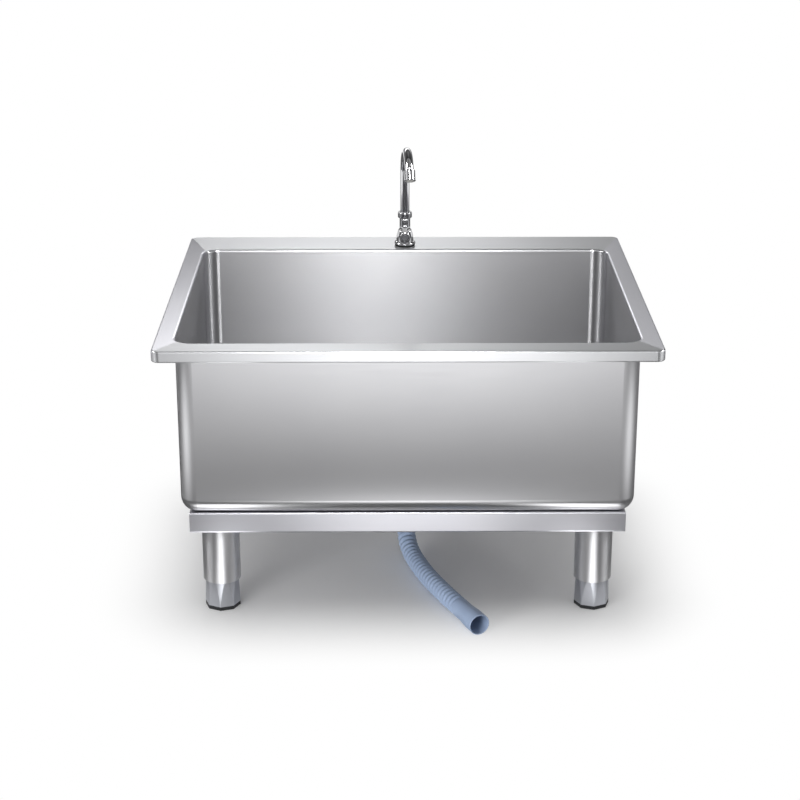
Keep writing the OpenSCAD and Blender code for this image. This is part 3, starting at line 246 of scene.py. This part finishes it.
def satin_steel(name, colour, dark, roughness, stretch, grain, spread):
    """Ground sheet: grain is the scratches' axis, spread the way the gloss spreads."""
    material, tree, shader = new_material(
        name, {"Metallic": 1.0, "Roughness": roughness, "Anisotropic": stretch}
    )
    coords = add_node(tree, "ShaderNodeTexCoord")
    scale = [1 / STREAK] * 3
    scale[grain] = 1 / (STREAK * STREAK_LENGTHS)
    mapping = add_node(
        tree, "ShaderNodeMapping", values={"Scale": scale},
        links={"Vector": coords.outputs["Object"]},
    )
    scratches = add_node(
        tree, "ShaderNodeTexNoise", values={"Scale": 1.0, "Detail": 3.0},
        links={"Vector": mapping.outputs["Vector"]},
    )
    # Clouds of tint about 140 mm across, as sheet gets from handling
    clouds = add_node(
        tree, "ShaderNodeTexNoise", values={"Scale": 7.0, "Detail": 4.0},
        links={"Vector": coords.outputs["Object"]},
    )
    gloss = add_node(
        tree, "ShaderNodeMapRange",
        values={"From Min": 0.3, "From Max": 0.7, "To Min": roughness - 0.015,
                "To Max": roughness + 0.02},
        links={"Value": scratches.outputs["Fac"]},
    )
    tint = add_node(
        tree, "ShaderNodeMix", {"data_type": "RGBA"},
        values={"A": hex_colour(colour), "B": hex_colour(dark)},
        links={"Factor": clouds.outputs["Fac"]},
    )
    bump = add_node(
        tree, "ShaderNodeBump", values={"Strength": 0.03, "Distance": STREAK_DEPTH},
        links={"Height": scratches.outputs["Fac"]},
    )
    way = add_node(tree, "ShaderNodeCombineXYZ", values=dict(zip("XYZ", spread)))
    tree.links.new(gloss.outputs["Result"], shader.inputs["Roughness"])
    tree.links.new(tint.outputs["Result"], shader.inputs["Base Color"])
    tree.links.new(bump.outputs["Normal"], shader.inputs["Normal"])
    tree.links.new(way.outputs["Vector"], shader.inputs["Tangent"])
    return material


# The ways in which gloss spreads: across strips that run along X or Y, and upright
ACROSS_X, ACROSS_Y, UPRIGHT = (0.02, 1, 1), (1, 0.02, 1), (0.01, 0.05, 1)
X_AXIS, Y_AXIS = 0, 1
rim_along_x = satin_steel(
    "satin_steel_rim_x", "EBECEE", "E4E5E8", 0.30, 0.7, X_AXIS, ACROSS_X
)
rim_along_y = satin_steel(
    "satin_steel_rim_y", "EAEAEF", "E2E2E9", 0.30, 0.7, Y_AXIS, ACROSS_Y
)
frame_steel = satin_steel(
    "satin_steel_frame", "E6E6EB", "DDDDE4", 0.31, 0.5, X_AXIS, UPRIGHT
)
dress(rim_along_x, "rim_front", "rim_rear")
dress(rim_along_y, "rim_left", "rim_right")
dress(
    frame_steel, "frame_front", "frame_right", "frame_rear", "frame_left",
    "frame_bearers", "corner_gussets", "leg_sockets", "tap_stiffener",
)

# %% [markdown]
# The bowl's sheet is ground along its length inside, but across on its outer face, so
# inside the gloss spreads up and down and outside it spreads sideways. Outside it is
# also ground finer and mirrors more sharply. The two faces are told apart by whether
# the normal points away from the bowl's middle.

# %% Two faces of the bowl
BOWL_MIDDLE, SIDEWAYS, FINER_BY = (0, -0.026, 0.4), (1, 0.5, 0.02), 0.04
bowl_steel = satin_steel(
    "satin_steel_bowl", "E6E6E8", "DDDDE0", 0.33, 0.94, X_AXIS, UPRIGHT
)
tree = bowl_steel.node_tree
shader = tree.nodes["Principled BSDF"]
geometry = add_node(tree, "ShaderNodeNewGeometry")
coords = add_node(tree, "ShaderNodeTexCoord")
from_middle = add_node(
    tree, "ShaderNodeVectorMath", {"operation": "SUBTRACT"},
    values={1: BOWL_MIDDLE}, links={0: coords.outputs["Object"]},
)
outward = add_node(
    tree, "ShaderNodeVectorMath", {"operation": "DOT_PRODUCT"},
    links={0: from_middle.outputs["Vector"], 1: geometry.outputs["Normal"]},
)
outside = add_node(
    tree, "ShaderNodeMath", {"operation": "GREATER_THAN"},
    values={1: 0.0}, links={0: outward.outputs["Value"]},
)
way = add_node(
    tree, "ShaderNodeMix", {"data_type": "VECTOR"},
    links={"Factor": outside.outputs["Value"]},
)
way.inputs["A"].default_value, way.inputs["B"].default_value = UPRIGHT, SIDEWAYS
tree.links.new(way.outputs["Result"], shader.inputs["Tangent"])
inside_gloss = shader.inputs["Roughness"].links[0].from_socket
finer = add_node(
    tree, "ShaderNodeMath", {"operation": "MULTIPLY_ADD"},
    values={1: -FINER_BY}, links={0: outside.outputs["Value"], 2: inside_gloss},
)
tree.links.new(finer.outputs["Value"], shader.inputs["Roughness"])
dress(bowl_steel, "bowl")

# %% [markdown]
# ## Polished tube, turned steel, chrome and brass
# The legs are drawn tube, polished round, so they mirror the studio in long upright
# bands: the polishing lines run round the tube and draw each light up and down. The
# tap is cast brass, polished and chrome plated: the clearest mirror here. Its inner
# pieces stay bare brass. Small turned pieces are duller, and the pressed drain lies
# between the two.

# %% Polished metals
def polished_metal(name, colour, dark, roughness, spread, stretch=0.0):
    """A smooth metal with faint clouds in its gloss, which stretch draws upwards."""
    material, tree, shader = new_material(
        name, {"Metallic": 1.0, "Roughness": roughness, "Anisotropic": stretch}
    )
    coords = add_node(tree, "ShaderNodeTexCoord")
    # Clouds about 22 mm across, where a polishing wheel has lingered
    clouds = add_node(
        tree, "ShaderNodeTexNoise", values={"Scale": 45.0, "Detail": 5.0},
        links={"Vector": coords.outputs["Object"]},
    )
    gloss = add_node(
        tree, "ShaderNodeMapRange",
        values={"From Min": 0.35, "From Max": 0.65, "To Min": roughness,
                "To Max": roughness + spread},
        links={"Value": clouds.outputs["Fac"]},
    )
    tint = add_node(
        tree, "ShaderNodeMix", {"data_type": "RGBA"},
        values={"A": hex_colour(colour), "B": hex_colour(dark)},
        links={"Factor": clouds.outputs["Fac"]},
    )
    tree.links.new(gloss.outputs["Result"], shader.inputs["Roughness"])
    tree.links.new(tint.outputs["Result"], shader.inputs["Base Color"])
    if stretch:
        way = add_node(tree, "ShaderNodeCombineXYZ", values={"Z": 1.0})
        tree.links.new(way.outputs["Vector"], shader.inputs["Tangent"])
    return material


CORNERS = ("front_left", "front_right", "rear_left", "rear_right")
tube_steel = polished_metal("polished_steel_tube", "E4E4E6", "DCDCDF", 0.40, 0.03, 0.9)
foot_steel = polished_metal("polished_steel_foot", "D0D2D8", "C6C8CF", 0.40, 0.03, 0.9)
bright_steel = polished_metal("turned_steel", "B9BABC", "A9AAAD", 0.28, 0.1)
drain_steel = polished_metal("pressed_steel_drain", "D4D4D6", "C8C8CB", 0.2, 0.06)
chrome = polished_metal("chrome_plate", "E8E8EA", "E2E2E5", 0.04, 0.02)
brass = polished_metal("turned_brass", "C9A45C", "B68F49", 0.24, 0.08)
dress(tube_steel, *("leg_tube_" + c for c in CORNERS))
dress(foot_steel, *("foot_shell_" + c for c in CORNERS))
dress(
    bright_steel, "socket_washers", "socket_nuts", "leg_grub_screws", "leg_inserts",
    "hose_clamp", "clamp_screw", "lever_screw",
)
dress(drain_steel, "drain_flange", "strainer_basket", "basket_knob")
dress(
    chrome, "tap_body", "valve_bonnet", "tap_lever", "lever_cap", "spout_nut", "spout",
    "aerator_housing",
)
dress(brass, "tap_backnut", "valve_cartridge", "valve_spindle")

# %% [markdown]
# ## Plastics and rubber
# The hose is soft polyethylene in a grey blue, a little waxy. The trap fittings are
# white moulded polypropylene. The foot pads, gaskets and plug are nitrile rubber with
# a fine matt skin. Each gets a faint mould grain in its height and its gloss.

# %% Moulded plastics and rubbers
# Height of the mould's grain in metres. The grains themselves are drawn about a
# millimetre wide, coarser than real ones, so that they can show.
GRAIN_DEPTH = 0.0001


def moulded(name, colour, dark, roughness, grain_size):
    """A moulded plastic or rubber with a fine grain, its size given in metres."""
    material, tree, shader = new_material(name, {"Roughness": roughness})
    coords = add_node(tree, "ShaderNodeTexCoord")
    grain = add_node(
        tree, "ShaderNodeTexNoise", values={"Scale": 1 / grain_size, "Detail": 3.0},
        links={"Vector": coords.outputs["Object"]},
    )
    # Clouds of colour about 55 mm across, from uneven cooling
    clouds = add_node(
        tree, "ShaderNodeTexNoise", values={"Scale": 18.0, "Detail": 3.0},
        links={"Vector": coords.outputs["Object"]},
    )
    gloss = add_node(
        tree, "ShaderNodeMapRange",
        values={"From Min": 0.3, "From Max": 0.7, "To Min": roughness - 0.05,
                "To Max": roughness + 0.08},
        links={"Value": grain.outputs["Fac"]},
    )
    tint = add_node(
        tree, "ShaderNodeMix", {"data_type": "RGBA"},
        values={"A": hex_colour(colour), "B": hex_colour(dark)},
        links={"Factor": clouds.outputs["Fac"]},
    )
    bump = add_node(
        tree, "ShaderNodeBump", values={"Strength": 0.3, "Distance": GRAIN_DEPTH},
        links={"Height": grain.outputs["Fac"]},
    )
    tree.links.new(gloss.outputs["Result"], shader.inputs["Roughness"])
    tree.links.new(tint.outputs["Result"], shader.inputs["Base Color"])
    tree.links.new(bump.outputs["Normal"], shader.inputs["Normal"])
    return material


hose_plastic = moulded("polyethylene_hose", "9FB0CA", "93A4C0", 0.42, 0.0012)
fitting_plastic = moulded("polypropylene_fitting", "E4E4E0", "DAD9D4", 0.4, 0.0015)
black_rubber = moulded("nitrile_rubber_black", "1A1B1E", "232427", 0.6, 0.0008)
grey_rubber = moulded("rubber_gasket_grey", "4A4B4E", "3E3F42", 0.65, 0.001)
dress(hose_plastic, "ribbed_hose", "hose_cuff")
dress(
    fitting_plastic, "drain_slip_ring", "drain_locknut", "coupling_nut", "drain_elbow",
    "aerator_insert",
)
dress(
    black_rubber, *("foot_pad_" + c for c in CORNERS), "tap_gasket", "spout_o_rings",
    "basket_plug",
)
dress(
    grey_rubber, "bearer_pads", "drain_gasket_top", "drain_gasket_low", "cone_washer",
    "tap_washer",
)

# %% [markdown]
# ## Studio
# Metal shows what it mirrors, so a studio for steel is mostly panels. The floor is a
# white sheet. Round the sink it is lit as any matt white is and keeps the sink's
# shadow. Further out it turns, for eyes and mirrors alone, to a plain white that gives
# the picture its background without more light on the sink.

# %% Floor
# Half the width and depth of the floor's patch that is all shadow, and the distance
# over which the white takes over, in metres
SHADOW_HALF, FADE = (0.31, 0.23, 0), 0.3


def stage_plane(name, size, place, turn=(0, 0, 0)):
    """A flat stage piece of a width and a depth, placed and turned."""
    plane_bm = bmesh.new()
    bmesh.ops.create_grid(plane_bm, x_segments=1, y_segments=1, size=0.5)
    bmesh.ops.scale(plane_bm, vec=(size[0], size[1], 1), verts=plane_bm.verts)
    mesh = bpy.data.meshes.new(name)
    plane_bm.to_mesh(mesh)
    plane_bm.free()
    obj = bpy.data.objects.new(name, mesh)
    bpy.context.scene.collection.objects.link(obj)
    obj.location, obj.rotation_euler = place, turn
    return obj


floor = stage_plane("floor", (60, 60), (0, 0, -0.0005))
floor_paint, tree, shader = new_material(
    "white_floor", {"Base Color": hex_colour("FCFCFC"), "Roughness": 0.9,
                    "Specular IOR Level": 0.1}
)
coords = add_node(tree, "ShaderNodeTexCoord")
mirrored = add_node(
    tree, "ShaderNodeVectorMath", {"operation": "ABSOLUTE"},
    links={0: coords.outputs["Object"]},
)
past_shadow = add_node(
    tree, "ShaderNodeVectorMath", {"operation": "SUBTRACT"},
    values={1: SHADOW_HALF}, links={0: mirrored.outputs["Vector"]},
)
past_shadow = add_node(
    tree, "ShaderNodeVectorMath", {"operation": "MAXIMUM"},
    values={1: (0, 0, 0)}, links={0: past_shadow.outputs["Vector"]},
)
away = add_node(
    tree, "ShaderNodeVectorMath", {"operation": "LENGTH"},
    links={0: past_shadow.outputs["Vector"]},
)
fade = add_node(
    tree, "ShaderNodeMapRange", {"interpolation_type": "SMOOTHSTEP"},
    values={"From Min": 0.0, "From Max": FADE}, links={"Value": away.outputs["Value"]},
)
rays = add_node(tree, "ShaderNodeLightPath")
seen = add_node(
    tree, "ShaderNodeMath", {"operation": "MAXIMUM"},
    links={0: rays.outputs["Is Camera Ray"], 1: rays.outputs["Is Glossy Ray"]},
)
seen = add_node(
    tree, "ShaderNodeMath", {"operation": "MAXIMUM"},
    links={0: seen.outputs["Value"], 1: rays.outputs["Is Transmission Ray"]},
)
share = add_node(
    tree, "ShaderNodeMath", {"operation": "MULTIPLY"},
    links={0: fade.outputs["Result"], 1: seen.outputs["Value"]},
)
glow = add_node(tree, "ShaderNodeEmission", values={"Strength": 1.0})
mix = add_node(
    tree, "ShaderNodeMixShader",
    links={0: share.outputs["Value"], 1: shader.outputs["BSDF"],
           2: glow.outputs["Emission"]},
)
tree.links.new(mix.outputs["Shader"], tree.nodes["Material Output"].inputs["Surface"])
floor.data.materials.append(floor_paint)
print("floor laid, white past", FADE, "m from the shadow")

# %% [markdown]
# The world is an even soft white for everything matt, and plain white where it is
# seen. Where metal mirrors it, it is a studio wall: bright in front, two dark flags
# beside the camera, bright sides and a dark back, so that round tubes show their
# bands. It is brightest low down and dims overhead.

# %% World
MATT_LEVEL, LOW_WALL, OVERHEAD = 0.45, 1.1, 0.4
# The wall dims overhead between these two sines of the angle above the horizon
DIM_FROM, DIM_TO = 0.35, 0.75
# Degrees from straight in front, on both sides, and how bright the wall is there
WALL_BANDS = (
    (0, 1.0), (5, 1.0), (18, 0.25), (46, 0.25), (56, 0.7), (86, 0.7), (98, 0.08),
    (150, 0.2), (180, 0.5),
)
world = bpy.data.worlds.new("studio")
bpy.context.scene.world = world
world.use_nodes = True
tree = world.node_tree
background = tree.nodes["Background"]
background.inputs["Color"].default_value = (1, 1, 1, 1)
coords = add_node(tree, "ShaderNodeTexCoord")
parts = add_node(
    tree, "ShaderNodeSeparateXYZ", links={"Vector": coords.outputs["Generated"]}
)
forward = add_node(
    tree, "ShaderNodeMath", {"operation": "MULTIPLY"}, values={1: -1.0},
    links={0: parts.outputs["Y"]},
)
round_angle = add_node(
    tree, "ShaderNodeMath", {"operation": "ARCTAN2"},
    links={0: parts.outputs["X"], 1: forward.outputs["Value"]},
)
side_angle = add_node(
    tree, "ShaderNodeMath", {"operation": "ABSOLUTE"},
    links={0: round_angle.outputs["Value"]},
)
share_of_half = add_node(
    tree, "ShaderNodeMath", {"operation": "DIVIDE"}, values={1: math.pi},
    links={0: side_angle.outputs["Value"]},
)
wall = add_node(
    tree, "ShaderNodeValToRGB", links={"Fac": share_of_half.outputs["Value"]}
)
ramp = wall.color_ramp
while len(ramp.elements) < len(WALL_BANDS):
    ramp.elements.new(0.5)
for element, (degrees, light) in zip(ramp.elements, WALL_BANDS):
    element.position, element.color = degrees / 180, (light, light, light, 1)
dome = add_node(
    tree, "ShaderNodeMapRange", {"interpolation_type": "SMOOTHSTEP"},
    values={"From Min": DIM_FROM, "From Max": DIM_TO, "To Min": LOW_WALL,
            "To Max": OVERHEAD},
    links={"Value": parts.outputs["Z"]},
)
bright = add_node(
    tree, "ShaderNodeMath", {"operation": "MULTIPLY"},
    links={0: wall.outputs["Color"], 1: dome.outputs["Result"]},
)
rays = add_node(tree, "ShaderNodeLightPath")
level = add_node(
    tree, "ShaderNodeMix", {"data_type": "FLOAT"}, values={"A": MATT_LEVEL},
    links={"Factor": rays.outputs["Is Glossy Ray"], "B": bright.outputs["Value"]},
)
seen = add_node(
    tree, "ShaderNodeMath", {"operation": "MAXIMUM"},
    links={0: rays.outputs["Is Camera Ray"], 1: rays.outputs["Is Transmission Ray"]},
)
level = add_node(
    tree, "ShaderNodeMix", {"data_type": "FLOAT"}, values={"B": 1.0},
    links={"Factor": seen.outputs["Value"], "A": level.outputs["Result"]},
)
tree.links.new(level.outputs["Result"], background.inputs["Strength"])
print("world bands:", len(WALL_BANDS))

# %% [markdown]
# Cards are what gives steel its shape: bright ones draw the highlights and dark ones
# the edges. Each is a flat panel that only metal mirrors, with one even light and soft
# oval spots on it. The panel behind is mirrored by the ledges. The one on the floor in
# front is mirrored by the lip, the bowl's face, the apron and the legs, each at its own
# distance, and so it has a spot for each. Dark cards lie on the floor at the sides and
# behind, and keep the edges of the legs and the tap dark. A bright strip hangs in front
# for the bowl's back wall and one at each side for its round corners. Behind a second
# mirror a card can be held dimmer, because the bowl's inside would else glow all over.

# %% Cards and glowing panels
def card(name, size, place, turn, edge, spots=(), again=1.0):
    """A panel for metal. Spots are (centre, reach, lean, light) on its edge light."""
    obj = stage_plane(name, size, place, turn)
    obj.visible_camera = obj.visible_diffuse = obj.visible_shadow = False
    material = bpy.data.materials.new(name)
    material.use_nodes = True
    tree = material.node_tree
    tree.nodes.clear()
    out = add_node(tree, "ShaderNodeOutputMaterial")
    glow = add_node(tree, "ShaderNodeEmission", values={"Strength": edge})
    tree.links.new(glow.outputs["Emission"], out.inputs["Surface"])
    coords = add_node(tree, "ShaderNodeTexCoord")
    # A ray that comes by one mirror sees the full light, and by more mirrors its share
    rays = add_node(tree, "ShaderNodeLightPath")
    first = add_node(
        tree, "ShaderNodeMapRange",
        values={"From Min": 1.0, "From Max": 2.0, "To Min": 1.0, "To Max": again},
        links={"Value": rays.outputs["Ray Depth"]},
    )
    tree.links.new(first.outputs["Result"], glow.inputs["Color"])
    total = None
    for centre, reach, lean, light in spots:
        moved = add_node(
            tree, "ShaderNodeVectorMath", {"operation": "SUBTRACT"},
            values={1: (*centre, 0)}, links={0: coords.outputs["Object"]},
        )
        leant = add_node(
            tree, "ShaderNodeMapping", {"vector_type": "TEXTURE"},
            values={"Rotation": (0, 0, math.radians(lean)), "Scale": (*reach, 1)},
            links={"Vector": moved.outputs["Vector"]},
        )
        away = add_node(
            tree, "ShaderNodeVectorMath", {"operation": "LENGTH"},
            links={0: leant.outputs["Vector"]},
        )
        spot = add_node(
            tree, "ShaderNodeMapRange", {"interpolation_type": "SMOOTHERSTEP"},
            values={"From Min": 0.0, "From Max": 1.0, "To Min": light, "To Max": 0.0},
            links={"Value": away.outputs["Value"]},
        )
        added = add_node(
            tree, "ShaderNodeMath", {"operation": "ADD"}, values={1: edge},
            links={0: spot.outputs["Result"]},
        )
        if total:
            tree.links.new(total.outputs["Value"], added.inputs[1])
        total = added
        tree.links.new(total.outputs["Value"], glow.inputs["Strength"])
    obj.data.materials.append(material)
    print(name, "spots:", len(spots))


FLAT, BACK, SIDE = (0, 0, 0), (math.pi / 2, 0, 0), (math.pi / 2, 0, math.pi / 2)
FORWARD = (math.radians(50), 0, 0)
DARK = 0.12
card(
    "panel_behind", (5, 2.2), (0, 2.3, 1.9), BACK, 0.1,
    [((-0.40, -0.3), (0.38, 1.6), 62, 2.4), ((-0.1, -0.34), (2.6, 0.36), 0, 1.2)],
    again=0.3,
)
# Two wide spots for the lip and the bowl, one for the apron, one for each front leg,
# and one far out at each side for all that is round
card(
    "card_front", (5, 4.1), (0, -2.38, 0.002), FLAT, DARK,
    [((0, -0.22), (1.3, 2.3), 0, 1.0), ((0.05, -0.42), (1.0, 2.2), 0, 1.5),
     ((0, 1.64), (0.5, 0.22), 0, 1.9),
     ((-0.36, 1.94), (0.10, 0.17), 0, 4.0), ((0.34, 1.94), (0.10, 0.17), 0, 4.0),
     ((-1.3, 1.58), (0.75, 0.75), 0, 1.3), ((1.3, 1.58), (0.75, 0.75), 0, 1.3)],
)
card("card_left", (1.8, 2.2), (-1.37, 0.77, 0.002), FLAT, DARK)
card("card_right", (1.8, 2.2), (1.37, 0.77, 0.002), FLAT, DARK)
card("card_rear", (4.6, 3.16), (0, 2.0, 0.003), FLAT, DARK)
card("strip_front", (0.3, 1.2), (-0.06, -1.9, 2.2), FORWARD, 28.0, again=0.1)
card("strip_left", (0.4, 1.0), (-2.1, 0.0, 2.0), SIDE, 24.0, again=0.1)
card("strip_right", (0.4, 1.0), (2.1, 0.0, 2.0), SIDE, 24.0, again=0.1)

# %% [markdown]
# Two soft lamps light what is matt: a wide one overhead, which lays the shadow under
# the sink, and a low one from the front left, which reaches the hose. Neither is
# mirrored, because the cards already give the metal its lights.

# %% Softboxes
def softbox(name, size, place, target, power):
    """A rectangular lamp that faces a point and isn't mirrored."""
    lamp = bpy.data.lights.new(name, "AREA")
    lamp.shape, lamp.size, lamp.size_y, lamp.energy = "RECTANGLE", *size, power
    obj = bpy.data.objects.new(name, lamp)
    bpy.context.scene.collection.objects.link(obj)
    obj.location = place
    aim = Vector(target) - Vector(place)
    obj.rotation_euler = aim.to_track_quat("-Z", "Y").to_euler()
    obj.visible_camera = obj.visible_glossy = False
    print(name, "of", power, "W")


softbox("top_light", (1.5, 1.2), (-0.1, 0.7, 2.7), (0, 0, 0.3), 42)
softbox("low_front", (1.2, 0.35), (-1.4, -2.3, 0.35), (0.05, -0.1, 0.1), 42)

# %% [markdown]
# ## Last settings
# The Standard view transform shows colours as they are written.

# %% Finish
bpy.context.scene.view_settings.view_transform = "Standard"
